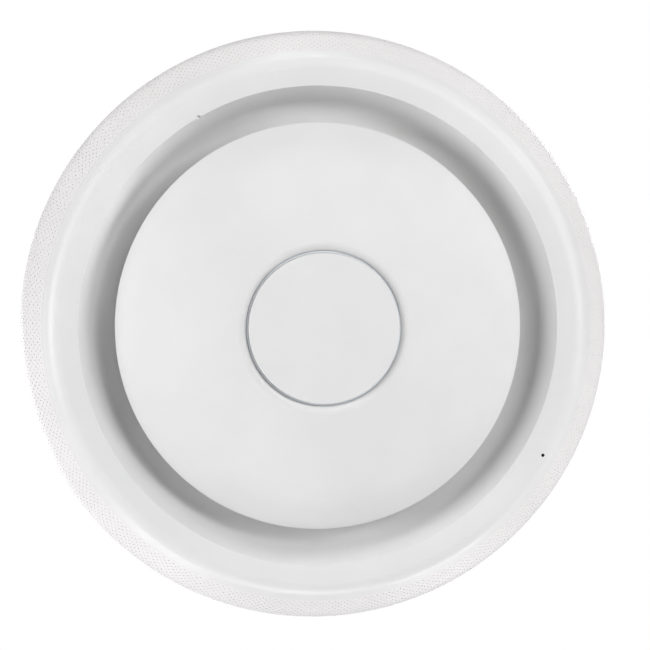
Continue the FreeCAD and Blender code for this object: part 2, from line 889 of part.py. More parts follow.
def make_port_board():
    make_jack("ethernet_jack_main", "(-jack_offset)")
    make_jack("ethernet_jack_secondary", "jack_offset")
    top, under = minus("port_board_depth"), minus("port_board_depth + board_thickness")
    board_with_holes("port_board", ("(-port_board_half)", "port_board_far", under),
                     ("port_board_half", "port_board_near", top), port_standoffs())
    screw_tip = "(port_board_depth - small_screw_length)"
    screws("port_board_screws", port_standoffs(), "small_screw_radius", "port_board_depth + board_thickness",
           screw_tip, True)
    rear = "(port_board_far + board_part_inset)"
    node(block("poe_transformer", ("(-transformer_width)", rear, top),
               (0, f"({rear} + transformer_length)", f"(-port_board_depth + transformer_height)")))
    node(group("poe_capacitors", [
        rod(f"poe_capacitor_{n}", "capacitor_radius",
            (f"(poe_capacitor_start + {n} * poe_capacitor_pitch)", f"({rear} + poe_capacitor_inset)", top),
            "capacitor_height")
        for n in (1, 2)
    ]))


def make_reset():
    towards = FreeCAD.Vector(0, -1, 0)
    z = "(-reset_depth)"
    stem = rod("reset_stem", "reset_radius", ("reset_x", "reset_face", z), less("reset_face", "reset_back"),
               towards)
    flange_length = "(pocket_back - tray_wall - seam * 2 - reset_back)"
    flange = rod("reset_collar", "reset_flange", ("reset_x", plus("reset_back", flange_length), z),
                 flange_length,
                 towards)
    node(fuse("reset_button", stem, flange))
    node(block("reset_switch", ("(reset_x - switch_width / 2)", "switch_back", "(-port_board_depth)"),
               ("(reset_x + switch_width / 2)", "switch_front", "(-port_board_depth + switch_height)")))


def make_amplifier():
    top, under = minus("port_board_depth"), minus("port_board_depth + board_thickness")
    board_with_holes("amplifier_board", ("amp_board_near", "(-amp_board_half)", under),
                     ("amp_board_far", "amp_board_half", top), amp_standoffs())
    screws("amplifier_board_screws", amp_standoffs(), "small_screw_radius",
           "port_board_depth + board_thickness",
           "(port_board_depth - small_screw_length)", True)
    middle = "((amp_board_near + amp_board_far) / 2)"
    left, right = f"({middle} - amp_sink_width / 2)", f"({middle} + amp_sink_width / 2)"
    sink_top = "(-port_board_depth + amp_sink_height)"
    base = block("amp_sink_base", (left, "(-amp_sink_length)", top),
                 (right, 0, "(-port_board_depth + amp_sink_floor)"))
    pitch = "((amp_sink_width - amp_sink_fin) / (amp_sink_fins - 1))"
    fins = [
        block(f"amp_sink_fin_{n}", (f"({left} + {n} * {pitch})", "(-amp_sink_length)", top),
              (f"({left} + {n} * {pitch} + amp_sink_fin)", 0, sink_top))
        for n in range(count("amp_sink_fins"))
    ]
    node(fuse("amplifier_heat_sink", base, *fins))
    node(group("amplifier_capacitors", [
        rod(f"amp_capacitor_{n}", "capacitor_radius",
            (f"({middle} {sign} amp_capacitor_x)", "amp_capacitor_y", top),
            "capacitor_height")
        for n, sign in enumerate("-+", 1)
    ]))


# ---- grille, front ring and baffle ---------------------------------------------------------------


def make_grille():
    t = "grille_thickness"
    front, rear = "(grille_run - seam)", "(grille_turn - 0.1)"
    node(turned("side_grille", [
        lean_point(front),
        lean_point(0),
        (*side_point(0), "front_arc_radius", CCW),
        (*side_point(rear), "side_arc_radius", CCW),
        side_point(rear, t),
        (*side_point(0, t), f"side_arc_radius - {t}", CW),
        (*lean_point(0, t), f"front_arc_radius - {t}", CW),
        lean_point(front, t),
    ]))
    near, far = "(grille_thickness + cloth_gap)", "(grille_thickness + cloth_gap + cloth_thickness)"
    front, rear = "(grille_run - tongue_reach - seam)", "(grille_turn - tongue_turn - 0.2)"
    node(turned("grille_cloth", [
        lean_point(front, near),
        lean_point(0, near),
        (*side_point(0, near), f"front_arc_radius - {near}", CCW),
        (*side_point(rear, near), f"side_arc_radius - {near}", CCW),
        side_point(rear, far),
        (*side_point(0, far), f"side_arc_radius - {far}", CW),
        (*lean_point(0, far), f"front_arc_radius - {far}", CW),
        lean_point(front, far),
    ]))


def make_front_ring():
    crest = shoulder_crest()
    drop = f"(-({crest[1]}) - lip_depth)"
    face_run = less(crest[0], "lip_radius")
    face_curve = f"(({face_run} * {face_run} + {drop} * {drop}) / (2 * {drop}))"
    wall_foot = "(-floor_depth - channel_fillet * (1 - sin(channel_foot_lean)))"
    floor_edge = "(channel_foot_radius - channel_fillet * cos(channel_foot_lean))"
    floor_back = "(-floor_depth + floor_sheet)"
    tongue_end = "(grille_run - tongue_reach)"
    shell = turned("ring_shell", [
        lean_point("grille_run"),
        lean_point("shoulder_run"),
        (*crest, "shoulder_radius", CW),
        ("lip_radius", "-lip_depth", face_curve, CW),
        ("channel_foot_radius", wall_foot, "channel_flare", CW),
        (floor_edge, "-floor_depth", "channel_fillet", CCW),
        ("floor_inner_radius", "-floor_depth"),
        ("floor_inner_radius", floor_back),
        ("channel_wall_back", floor_back),
        ("(lip_radius + lip_back_run)", "(-lip_depth + lip_back_rise)"),
        shoulder_crest("face_thickness"),
        (*lean_point("shoulder_run", "face_thickness"), "shoulder_radius - face_thickness", CCW),
        lean_point("grille_run + tongue_step", TONGUE_INNER),
        lean_point(tongue_end, TONGUE_INNER),
        lean_point(tongue_end, TONGUE_OUTER),
        lean_point("grille_run", TONGUE_OUTER),
    ])
    boss_foot = "(baffle_front + ring_boss_gap)"
    bosses = [
        rod(f"ring_boss_{n}", "ring_boss_radius", (x, y, "(-lip_depth + margin)"),
            f"(lip_depth - margin - {boss_foot})")
        for n, (x, y) in enumerate(housing_places(), 1)
    ]
    holes = [
        rod(f"ring_boss_hole_{n}", "housing_screw_radius", (x, y, "(-housing_screw_end - margin)"),
            f"(housing_screw_end + margin * 2 - {boss_foot})")
        for n, (x, y) in enumerate(housing_places(), 1)
    ]
    mic_x, mic_y = polar("mic_circle", "mic_angle")
    bosses.append(rod("mic_seat", "mic_seat_radius", (mic_x, mic_y, "(-mic_seat_base)"),
                      "(mic_seat_base - mic_seat_depth)"))
    holes.append(rod("mic_hole", "mic_hole_radius", (mic_x, mic_y, "(-lip_depth - margin)"),
                     "(lip_depth - mic_seat_depth + margin * 2)"))
    holes.append(rod("lip_notch", "notch_radius", ("notch_x", "notch_y", "(-lip_depth - margin)"),
                     "(notch_depth + margin)"))
    node(cut("front_ring", fuse("ring_blank", shell, *bosses), *holes))
    node(ring("ring_gasket", "ring_gasket_inner", "ring_gasket_outer", "baffle_front",
              "(floor_depth - floor_sheet - baffle_front)"))


def pillar_places():
    return round_about("pillar_circle", "pillar_count", "pillar_start")


def speaker_screw_places():
    return round_about("speaker_screw_circle", "speaker_screw_count", "speaker_screw_start")


def make_baffle():
    back, front, collar = minus(BAFFLE_BACK), "(-baffle_front)", "(-baffle_collar_depth)"
    disc = turned("baffle_disc", [
        ("baffle_opening", back),
        ("(baffle_opening + collar_taper)", collar),
        ("baffle_collar_radius", collar),
        ("(baffle_collar_radius + collar_taper)", front),
        ("baffle_radius", front),
        ("baffle_radius", back),
    ])
    deep = "(baffle_thickness + margin * 4)"
    under = "(-baffle_front - margin * 2)"
    holes = [
        rod(f"baffle_edge_hole_{n}", "housing_screw_radius + seam * 2", (x, y, under), deep)
        for n, (x, y) in enumerate(housing_places(), 1)
    ]
    holes += [
        rod(f"baffle_pillar_hole_{n}", "pillar_screw_radius + seam", (x, y, under), deep)
        for n, (x, y) in enumerate(pillar_places(), 1)
    ]
    holes += [
        rod(f"baffle_speaker_hole_{n}", "housing_screw_radius", (x, y, "(-baffle_collar_depth + margin)"),
            "(baffle_collar_depth - baffle_front + baffle_thickness + margin)")
        for n, (x, y) in enumerate(speaker_screw_places(), 1)
    ]
    holes.append(rod("baffle_cable_hole", "cable_hole_radius", ("cable_hole_x", "cable_hole_y", under), deep))
    node(cut("speaker_baffle", disc, *holes))


def mic_sheet(name, half_width, half_angle, bottom, thickness):
    """A flat piece across the microphone hole, straight along the radius and wide along the ring."""
    inner, outer = less("mic_circle", half_width), plus("mic_circle", half_width)
    return plate(name, sector(inner, outer, half_angle, "mic_angle"), bottom, thickness)


def make_microphone():
    x, y = polar("mic_circle", "mic_angle")
    boot = rod("mic_boot_body", "mic_boot_radius", (x, y, "(-mic_seat_depth)"), "mic_boot_height")
    duct = rod("mic_boot_duct", "mic_hole_radius", (x, y, "(-mic_seat_depth - margin)"),
               "mic_boot_height + margin * 2")
    node(cut("mic_boot", boot, duct))
    board_low = "(-mic_seat_depth + mic_boot_height)"
    board_high = f"({board_low} + mic_board_thickness)"
    sheet_body = mic_sheet("mic_board_sheet", "mic_board_half_width", "mic_board_half_angle", board_low,
                           "mic_board_thickness")
    port = rod("mic_port", "mic_hole_radius / 2", (x, y, f"({board_low} - margin)"),
               "mic_board_thickness + margin * 2")
    node(cut("mic_board", sheet_body, port))
    node(mic_sheet("microphone", "mic_half_width", "mic_half_angle", board_high, "mic_height"))


# ---- loudspeaker ---------------------------------------------------------------------------------

EDGE_FRONT = f"({BAFFLE_BACK} - speaker_gasket_thickness)"
FLANGE_FRONT = f"({EDGE_FRONT} - edge_thickness)"
FLANGE_BACK = f"({FLANGE_FRONT} - flange_thickness)"
MAGNET_TOP = "(yoke_top + yoke_thickness)"
PLATE_TOP = f"({MAGNET_TOP} + magnet_thickness)"
PLATE_UNDER = f"({PLATE_TOP} + top_plate_thickness)"


def make_motor():
    node(turned("speaker_yoke", [
        (0, "-yoke_top"),
        (0, minus(PLATE_UNDER)),
        ("pole_radius", minus(PLATE_UNDER)),
        ("pole_radius", minus(MAGNET_TOP)),
        ("yoke_radius", minus(MAGNET_TOP)),
        ("yoke_radius", "-yoke_top"),
    ]))
    node(ring("speaker_magnet", "magnet_bore", "magnet_radius", MAGNET_TOP, "magnet_thickness"))
    node(ring("speaker_top_plate", "gap_radius", "top_plate_radius", PLATE_TOP, "top_plate_thickness"))


def make_basket():
    shell = turned("basket_shell", [
        ("basket_hub", minus(PLATE_UNDER)),
        ("basket_hub", f"(-{PLATE_UNDER} - basket_sheet)"),
        ("spider_ledge", f"(-{PLATE_UNDER} - basket_sheet)"),
        ("spider_ledge", "-spider_depth"),
        ("spider_radius + seam * 4", "-spider_depth"),
        ("roll_outer + seam", minus(FLANGE_FRONT)),
        ("flange_radius", minus(FLANGE_FRONT)),
        ("flange_radius", minus(FLANGE_BACK)),
        ("roll_outer + basket_rim", minus(FLANGE_BACK)),
        ("basket_seat", f"(-{PLATE_UNDER} - basket_seat_rise)"),
        ("basket_seat", minus(PLATE_UNDER)),
    ])
    half = "(window_width / 2)"
    windows = []
    for side, sign in (("right", ""), ("left", "-")):
        near, far = f"({sign}window_near)", f"({sign}window_far)"
        windows.append(plate(f"basket_window_{side}", [
            (near, minus(half)),
            (near, half),
            (far, half),
            (far, minus(half)),
        ], minus(FLANGE_BACK), "window_depth"))
        windows.append(plate(f"basket_window_{side}_across", [
            (minus(half), near),
            (half, near),
            (half, far),
            (minus(half), far),
        ], minus(FLANGE_BACK), "window_depth"))
    holes = [
        rod(f"flange_hole_{n}", "housing_screw_radius + seam", (x, y, f"(-{FLANGE_FRONT} - margin)"),
            "flange_thickness + margin * 2")
        for n, (x, y) in enumerate(speaker_screw_places(), 1)
    ]
    node(cut("speaker_basket", shell, *windows, *holes))
    gasket_holes = [
        rod(f"gasket_hole_{n}", "housing_screw_radius + seam", (x, y, f"(-{BAFFLE_BACK} - margin)"),
            "speaker_gasket_thickness + margin * 2")
        for n, (x, y) in enumerate(speaker_screw_places(), 1)
    ]
    node(cut("speaker_gasket", ring("gasket_ring", "baffle_opening + 1.5", "flange_radius", EDGE_FRONT,
                                    "speaker_gasket_thickness"), *gasket_holes))
    screws("speaker_screws", speaker_screw_places(), "housing_screw_radius", FLANGE_BACK,
           "(baffle_collar_depth - margin * 1.5)")
    node(block("speaker_terminals",
               ("basket_seat", "(-terminal_length / 2)", f"(-{PLATE_UNDER} - terminal_half_height)"),
               ("(basket_seat + terminal_thickness)", "(terminal_length / 2)",
                f"(-{PLATE_UNDER} + terminal_half_height)")))


def make_moving_cone():
    node(ring("voice_coil", "former_inner", "former_outer", "former_top", "(cone_neck_depth - former_top)"))
    rim_height = f"(-{EDGE_FRONT} + edge_thickness)"
    slope = f"((-({rim_height}) - cone_neck_depth) / (roll_inner - former_outer))"
    node(turned("speaker_cone", [
        ("former_outer", "(-cone_neck_depth)"),
        ("roll_inner", rim_height),
        ("roll_inner", f"({rim_height} + cone_thickness)"),
        ("former_outer", "(-cone_neck_depth + cone_thickness)"),
    ]))
    rim = f"(-cone_neck_depth - (cap_rim - former_outer) * {slope} - 0.05)"
    curve = "((cap_rim * cap_rim + cap_drop * cap_drop) / (2 * cap_drop))"
    node(turned("dust_cap", [
        (0, f"({rim} - cap_drop)"),
        ("cap_rim", rim, curve, CCW),
        ("(cap_rim - 0.9)", f"({rim} + 0.3)"),
        (0, f"({rim} - cap_drop + cone_thickness)", curve, CW),
    ]))


def make_suspension():
    front, back = minus(EDGE_FRONT), minus(FLANGE_FRONT)
    node(turned("speaker_surround", [
        ("cone_rim + 0.2", front),
        ("roll_inner", front),
        ("roll_outer", front, "roll_radius", CCW),
        ("edge_outer", front),
        ("edge_outer", back),
        ("roll_outer - 0.4", back),
        ("roll_inner + 0.4", back, "roll_radius - edge_thickness", CW),
        ("cone_rim + 0.2", back),
    ]))
    top = "(-spider_depth)"
    under = "(-spider_depth - spider_thickness)"
    node(turned("spider", [
        ("former_outer", top),
        ("former_outer", under),
        ("spider_radius", under),
        ("spider_radius", top),
    ]))


# ---- dome module ---------------------------------------------------------------------------------

DOME_CENTRE = "((dome_curve * dome_curve - dome_radius * dome_radius) ^ 0.5 - dome_edge_depth)"


def dome_height(radius, inset="0"):
    """Height of the dome's skin at a radius, or of its inner face with an inset."""
    reach = less("dome_curve", inset)
    return f"({DOME_CENTRE} - ({reach} * {reach} - ({radius}) * ({radius})) ^ 0.5)"


def dome_screw_places():
    return round_about("dome_screw_circle", "dome_screw_count", "dome_screw_start")


def make_dome_cover():
    inner_wall = "(dome_radius - dome_rim_wall)"
    inner_start = "(roll_start + roll_inside)"
    shell = turned("dome_shell", [
        ("groove_radius", "(-groove_depth)"),
        ("roll_start", dome_height("roll_start"), "groove_roll", CCW),
        ("dome_radius", "(-dome_edge_depth)", "dome_curve", CCW),
        ("(dome_radius - dome_rim_draft)", "(-dome_rim_depth)"),
        (inner_wall, "(-dome_rim_depth)"),
        (inner_wall, dome_height(inner_wall, "dome_wall")),
        (inner_start, dome_height(inner_start, "dome_wall"), "dome_curve - dome_wall", CW),
        ("roll_start", "(-groove_floor)"),
        ("groove_radius", "(-groove_floor)"),
    ])
    boss_top = "(dome_rim_depth + plate_thickness + dome_boss_gap)"
    bosses = [
        rod(f"dome_boss_{n}", "dome_boss_radius", (x, y, "(-dome_boss_depth)"),
            f"(dome_boss_depth - {boss_top})")
        for n, (x, y) in enumerate(dome_screw_places(), 1)
    ]
    holes = [
        rod(f"dome_boss_hole_{n}", "small_screw_radius", (x, y, "(-dome_screw_end - margin / 2)"),
            "(dome_screw_end - dome_rim_depth)")
        for n, (x, y) in enumerate(dome_screw_places(), 1)
    ]
    node(cut("dome_cover", fuse("dome_blank", shell, *bosses), *holes))


def make_backplate():
    top, under = "(-dome_rim_depth)", "(-dome_rim_depth - plate_thickness)"
    disc = turned("backplate_disc", [
        (0, "(-plug_depth)"),
        (0, "(-plug_depth - plate_thickness)"),
        ("(plug_radius - plate_thickness)", under),
        ("plate_radius", under),
        ("plate_radius", top),
        ("plug_radius", top),
    ])
    holes = [
        rod(f"backplate_pillar_hole_{n}", "pillar_screw_radius + seam", (x, y, f"({under} - margin)"),
            "plate_thickness + margin * 2")
        for n, (x, y) in enumerate(pillar_places(), 1)
    ]
    holes += [
        rod(f"backplate_dome_hole_{n}", "small_screw_radius + seam", (x, y, f"({under} - margin)"),
            "plate_thickness + margin * 2")
        for n, (x, y) in enumerate(dome_screw_places(), 1)
    ]
    holes.append(rod("backplate_cable_hole", "cable_hole_radius",
                     ("cable_hole_x", "cable_hole_y", f"({under} - margin)"),
                     "plate_thickness + margin * 2"))
    node(cut("dome_backplate", disc, *holes))
    screws("dome_cover_screws", dome_screw_places(), "small_screw_radius", "dome_rim_depth", "dome_screw_end")
    node(group("dome_pillars", [
        cut(f"dome_pillar_{n}",
            rod(f"pillar_body_{n}", "pillar_radius", (x, y, top), "(dome_rim_depth - baffle_front)"),
            rod(f"pillar_bore_{n}", "pillar_screw_radius + seam", (x, y, f"({top} - margin)"),
                "(dome_rim_depth - baffle_front + margin * 2)"))
        for n, (x, y) in enumerate(pillar_places(), 1)
    ]))
    screws("dome_screws", pillar_places(), "pillar_screw_radius", BAFFLE_BACK,
           "(spreader_depth + spreader_thickness)")


def main_screw_places():
    return round_about("main_screw_circle", "main_screw_count", "main_screw_start")


def make_electronics():
    pads = "(spreader_depth + spreader_thickness)"
    spreader_holes = [
        rod(f"spreader_hole_{n}", "pillar_screw_radius", (x, y, f"(-{pads} - margin)"),
            "spreader_thickness + margin * 2")
        for n, (x, y) in enumerate(pillar_places(), 1)
    ]
    spreader_holes.append(rod("spreader_cable_hole", "cable_hole_radius",
                              ("cable_hole_x", "cable_hole_y", f"(-{pads} - margin)"),
                              "spreader_thickness + margin * 2"))
    posts = [
        rod(f"spreader_post_{n}", "standoff_radius", (x, y, "(-main_board_depth)"),
            f"(main_board_depth - {pads} + seam)")
        for n, (x, y) in enumerate(main_screw_places(), 1)
    ]
    post_holes = [
        rod(f"spreader_post_hole_{n}", "small_screw_radius", (x, y, "(-main_board_depth - margin)"),
            "(main_board_depth - spreader_depth + margin)")
        for n, (x, y) in enumerate(main_screw_places(), 1)
    ]
    disc = ring("spreader_disc", 0, "spreader_radius", "spreader_depth", "spreader_thickness")
    node(cut("heat_spreader", fuse("spreader_blank", disc, *posts), *spreader_holes, *post_holes))
    node(block("thermal_pad", ("(-pad_half)", "(-pad_half)", "(-main_board_depth)"),
               ("pad_half", "pad_half", minus(pads))))
    board_under = "(main_board_depth + board_thickness)"
    board_holes = [
        rod(f"main_board_hole_{n}", "small_screw_radius + seam", (x, y, f"(-{board_under} - margin)"),
            "board_thickness + margin * 2")
        for n, (x, y) in enumerate(main_screw_places(), 1)
    ]
    board_holes.append(rod("main_board_cable_hole", "cable_hole_radius / 1.5",
                           ("cable_hole_x", "cable_hole_y", f"(-{board_under} - margin)"),
                           "board_thickness + margin * 2"))
    node(cut("main_board",
             ring("main_board_disc", 0, "main_board_radius", "main_board_depth", "board_thickness"),
             *board_holes))
    screws("main_board_screws", main_screw_places(), "small_screw_radius", board_under,
           "(spreader_depth + margin / 2)", True)
    shield_low, shield_high = f"(-{board_under} - shield_height)", f"(-{board_under})"
    node(group("rf_shields", [
        block(f"rf_shield_{name}", ("(-shield_half_x)", less(y, half_y), shield_low),
              ("shield_half_x", plus(y, half_y), shield_high))
        for name, y,
        half_y in (("radio", "0", "radio_shield_half_y"), ("low_band", "shield_offset", "shield_half_y"),
                                ("high_band", "(-shield_offset)", "shield_half_y"))
    ]))
    return board_under


def make_antennas(name, start, length, board_under):
    """Bent sheet antennas, each a blade that stands on two legs."""
    made = []
    for number, (x, y) in enumerate(round_about("antenna_circle", "antenna_count", start), 1):
        front, back = f"({y} - antenna_sheet / 2)", f"({y} + antenna_sheet / 2)"
        end = f"({x} - {length} / 2)"
        pieces = [block(f"{name}_blade_{number}",
                        (end, front, f"(-{board_under} - antenna_height)"),
                        (f"({x} + {length} / 2)", back, f"(-{board_under} - antenna_lift)"))]
        for leg, run in (("feed", "0"), ("short", "(antenna_leg + antenna_leg_gap)")):
            pieces.append(block(f"{name}_{leg}_{number}",
                                (f"({end} + {run})", front, f"(-{board_under} - antenna_lift - seam)"),
                                (f"({end} + {run} + antenna_leg)", back, f"(-{board_under})")))
        made.append(fuse(f"{name}_{number}", *pieces))
    node(group(name, made))


def make_light_ring(board_under):
    inner = "(carrier_radius - carrier_wall)"
    node(turned("led_carrier", [
        (inner, minus(board_under)),
        (inner, "(-carrier_top)"),
        ("(led_board_outer + carrier_rim)", "(-carrier_top)"),
        ("(led_board_outer + carrier_rim)", "(-carrier_top + carrier_flange)"),
        ("carrier_radius", "(-carrier_top + carrier_flange)"),
        ("carrier_radius", minus(board_under)),
    ]))
    node(ring("led_board", "led_board_inner", "led_board_outer", "carrier_top", "board_thickness"))
    led_top = "(carrier_top + board_thickness)"
    node(group("led_chips", [
        block(f"led_chip_{n}",
              (f"({x} - led_half)", f"({y} - led_half)", f"(-{led_top} - led_height)"),
              (f"({x} + led_half)", f"({y} + led_half)", minus(led_top)))
        for n, (x, y) in enumerate(round_about("led_circle", "led_count", "0"), 1)
    ]))
    guide_under = "(-guide_depth - guide_thickness)"
    node(turned("led_light_ring", [
        ("guide_inner", "(-guide_depth)"),
        ("guide_inner", guide_under),
        ("guide_neck_inner", guide_under),
        ("guide_neck_inner", "(-guide_neck_depth)"),
        ("guide_neck_outer", "(-guide_neck_depth)"),
        ("guide_neck_outer", guide_under),
        ("guide_outer", guide_under),
        ("guide_outer", "(-guide_depth)"),
    ]))


def make_center_cap():
    edge = "(cap_radius - cap_round)"
    rise = "(overall_height - cap_edge_depth)"
    curve = f"(({edge} * {edge} + {rise} * {rise}) / (2 * {rise}))"
    skirt = "(-guide_depth - guide_thickness - 0.05)"
    inner_edge = "(cap_radius - cap_wall)"
    node(turned("center_cap", [
        (0, "(-overall_height)"),
        (edge, "(-cap_edge_depth)", curve, CCW),
        ("cap_radius", "(-cap_edge_depth + cap_round)", "cap_round", CCW),
        ("cap_radius", skirt),
        (inner_edge, skirt),
        (inner_edge, "(-cap_edge_depth + cap_wall)"),
        (0, "(-overall_height + cap_wall)"),
    ]))


# ---- leads ---------------------------------------------------------------------------------------


def lead(name, radius, spots):
    """A round lead of straight runs joined by tangent arcs, each as large as its two runs allow."""
    points = [FreeCAD.Vector(*(value(c) for c in spot)) for spot in spots]
    edges, start = [], points[0]
    for before, corner, after in zip(points, points[1:], points[2:]):
        into, out = (before - corner).normalize(), (after - corner).normalize()
        trim = 0.45 * min((before - corner).Length, (after - corner).Length)
        first, last = corner + into * trim, corner + out * trim
        bisector = (into + out).normalize()
        half_angle = into.getAngle(out) / 2
        arc_radius = trim * math.tan(half_angle)
        centre = corner + bisector * (arc_radius ** 2 + trim ** 2) ** 0.5
        middle = centre - bisector * arc_radius
        edges.append(Part.LineSegment(start, first).toShape())
        edges.append(Part.Arc(first, middle, last).toShape())
        start = last
    edges.append(Part.LineSegment(start, points[-1]).toShape())
    path = Part.Wire(edges)
    direction = (points[1] - points[0]).normalize()
    section = Part.Wire(Part.makeCircle(value(radius), points[0], direction))
    made = doc.addObject("Part::Feature", name)
    made.Label = name
    made.Shape = path.makePipeShell([section], True, False)
    return made


def make_leads():
    board_under = "(-port_board_depth - board_thickness)"
    x, y = "(basket_seat + terminal_thickness)", "(terminal_length / 4)"
    node(group("speaker_leads", [
        lead(f"speaker_lead_{side}", "lead_radius", [
            (x, f"({sign} * {y})", f"(-{PLATE_UNDER})"),
            (f"({x} + lead_reach)", f"({sign} * {y})", f"(-{PLATE_UNDER})"),
            ("amp_standoff_far - lead_inset", f"({sign} * {y})", f"(-{PLATE_UNDER} + lead_rise)"),
            ("amp_standoff_far - lead_inset", f"({sign} * {y})", board_under),
        ])
        for side, sign in (("plus", "1"), ("minus", "-1"))
    ]))
    node(lead("link_cable", "link_radius", [
        ("link_board_x", "link_board_y", board_under),
        ("link_board_x", "link_board_y", f"({board_under} - link_straight)"),
        ("cable_hole_x", "cable_hole_y", f"({board_under} - link_drop)"),
        ("cable_hole_x", "cable_hole_y", "(-main_board_depth - board_thickness)"),
    ]))


def check_document():
    doc.recompute()
    for made in doc.Objects:
        if {"Invalid", "Error"} & set(made.State):
            raise RuntimeError(f"{made.Label} failed: {made.State}")
    for piece in nodes:
        if piece.Shape.isNull() or not piece.Shape.isValid() or not piece.Shape.Solids:
            raise RuntimeError(f"{piece.Label} has no valid solid")


def write_parts():
    os.makedirs("parts", exist_ok=True)
    for piece in nodes:
        piece.Shape.exportStep(f"parts/{piece.Label}.step")
        print(f"{piece.Label}: {len(piece.Shape.Solids)} solid(s), {piece.Shape.Volume:.1f} mm3")


def main():
    fill_sheet()
    make_bracket()
    make_lock_lever()
    make_rear_housing()
    make_port_tray()
    make_port_board()
    make_reset()
    make_amplifier()
    make_grille()
    make_front_ring()
    make_baffle()
    make_microphone()
    make_motor()
    make_basket()
    make_moving_cone()
    make_suspension()
    make_dome_cover()
    make_backplate()
    board_under = make_electronics()
    make_antennas("antennas_low_band", "low_band_start", "low_band_length", board_under)
    make_antennas("antennas_high_band", "high_band_start", "high_band_length", board_under)
    make_light_ring(board_under)
    make_center_cap()
    make_leads()
    check_document()
    write_parts()


main()
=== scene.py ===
"""Looks of the ceiling access point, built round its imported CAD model.

The frame is in metres. +Z points up at the ceiling, and the dome looks down, towards the camera.
"""
import bpy
import json
import math
import numpy as np
from mathutils import Matrix, Vector


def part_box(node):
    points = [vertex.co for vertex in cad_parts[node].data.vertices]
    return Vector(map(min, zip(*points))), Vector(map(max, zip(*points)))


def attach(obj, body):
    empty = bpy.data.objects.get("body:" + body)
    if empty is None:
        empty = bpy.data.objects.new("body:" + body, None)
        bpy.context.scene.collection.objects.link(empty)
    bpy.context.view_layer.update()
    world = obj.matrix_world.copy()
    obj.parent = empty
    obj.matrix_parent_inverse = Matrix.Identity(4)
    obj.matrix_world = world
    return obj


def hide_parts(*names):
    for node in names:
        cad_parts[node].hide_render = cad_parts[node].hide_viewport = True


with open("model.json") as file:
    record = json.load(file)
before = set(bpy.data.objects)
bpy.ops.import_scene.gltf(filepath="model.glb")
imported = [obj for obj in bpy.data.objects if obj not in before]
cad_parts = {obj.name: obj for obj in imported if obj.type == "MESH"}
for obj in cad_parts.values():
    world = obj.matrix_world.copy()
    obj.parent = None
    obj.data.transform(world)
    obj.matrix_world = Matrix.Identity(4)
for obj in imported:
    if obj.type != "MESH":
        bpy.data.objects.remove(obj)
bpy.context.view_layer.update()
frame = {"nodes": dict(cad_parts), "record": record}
CAD_NODES = frame["nodes"]
MM = 0.001
HOUSING = "housing"


# ---- materials -----------------------------------------------------------------------------------

# most of a noise's values lie between these two
NOISE_LOW = 0.3
NOISE_HIGH = 0.7
# sockets of a Mix node that mixes colours
MIX_FACTOR = 0
MIX_FIRST = 6
MIX_SECOND = 7
MIX_RESULT = 2
PATCH_DETAIL = 3.0
GLOSS_FINENESS = 2.3


class Shader:
    """A material's node tree with one Principled shader, and short ways to add to it."""

    def __init__(self, name, colour, roughness, metallic=0.0):
        self.material = bpy.data.materials.new(name)
        self.material.use_nodes = True
        self.tree = self.material.node_tree
        self.base = self.tree.nodes["Principled BSDF"]
        self.base.inputs["Base Color"].default_value = (*colour, 1)
        self.base.inputs["Roughness"].default_value = roughness
        self.base.inputs["Metallic"].default_value = metallic
        self.colour = colour
        self.roughness = roughness
        self.place = self.add("ShaderNodeTexCoord").outputs["Object"]

    def add(self, kind, links=None, **settings):
        made = self.tree.nodes.new(kind)
        for key, setting in settings.items():
            if key in made.inputs:
                made.inputs[key].default_value = setting
            else:
                setattr(made, key, setting)
        for key, source in (links or {}).items():
            self.tree.links.new(source, made.inputs[key])
        return made

    def stretched(self, scale):
        return self.add("ShaderNodeMapping", {"Vector": self.place}, Scale=scale).outputs["Vector"]

    def noise(self, scale, detail=2.0, place=None):
        made = self.add("ShaderNodeTexNoise", {"Vector": place or self.place}, Scale=scale, Detail=detail)
        return made.outputs["Fac"]

    def spread(self, source, low, high):
        """The noise's middle range stretched to run from low to high."""
        made = self.add("ShaderNodeMapRange", {"Value": source})
        made.inputs["From Min"].default_value = NOISE_LOW
        made.inputs["From Max"].default_value = NOISE_HIGH
        made.inputs["To Min"].default_value = low
        made.inputs["To Max"].default_value = high
        return made.outputs["Result"]

    def tint(self, amount, other):
        """Blends the base colour towards another one where amount is high."""
        made = self.add("ShaderNodeMix", data_type="RGBA")
        made.inputs[MIX_FIRST].default_value = (*self.colour, 1)
        made.inputs[MIX_SECOND].default_value = (*other, 1)
        self.tree.links.new(amount, made.inputs[MIX_FACTOR])
        self.tree.links.new(made.outputs[MIX_RESULT], self.base.inputs["Base Color"])

    def vary(self, scale, darker, rougher):
        """Slow patches of slightly darker colour and slightly different gloss."""
        patches = self.noise(scale, PATCH_DETAIL)
        self.tint(self.spread(patches, 0.0, 1.0), tuple(c * (1 - darker) for c in self.colour))
        finer = self.noise(scale * GLOSS_FINENESS, PATCH_DETAIL)
        gloss = self.spread(finer, self.roughness - rougher, self.roughness + rougher)
        self.tree.links.new(gloss, self.base.inputs["Roughness"])

    def bump(self, height, strength, distance):
        made = self.add("ShaderNodeBump", {"Height": height}, Strength=strength, Distance=distance)
        self.tree.links.new(made.outputs["Normal"], self.base.inputs["Normal"])


def moulded(name, colour, roughness=0.42, shine=0.4):
    """Moulded plastic with the fine spark-eroded texture of its mould."""
    made = Shader(name, colour, roughness)
    made.vary(scale=40.0, darker=0.03, rougher=0.05)
    made.bump(made.noise(scale=2600.0), strength=0.12, distance=0.06 * MM)
    made.base.inputs["Specular IOR Level"].default_value = shine
    return made.material


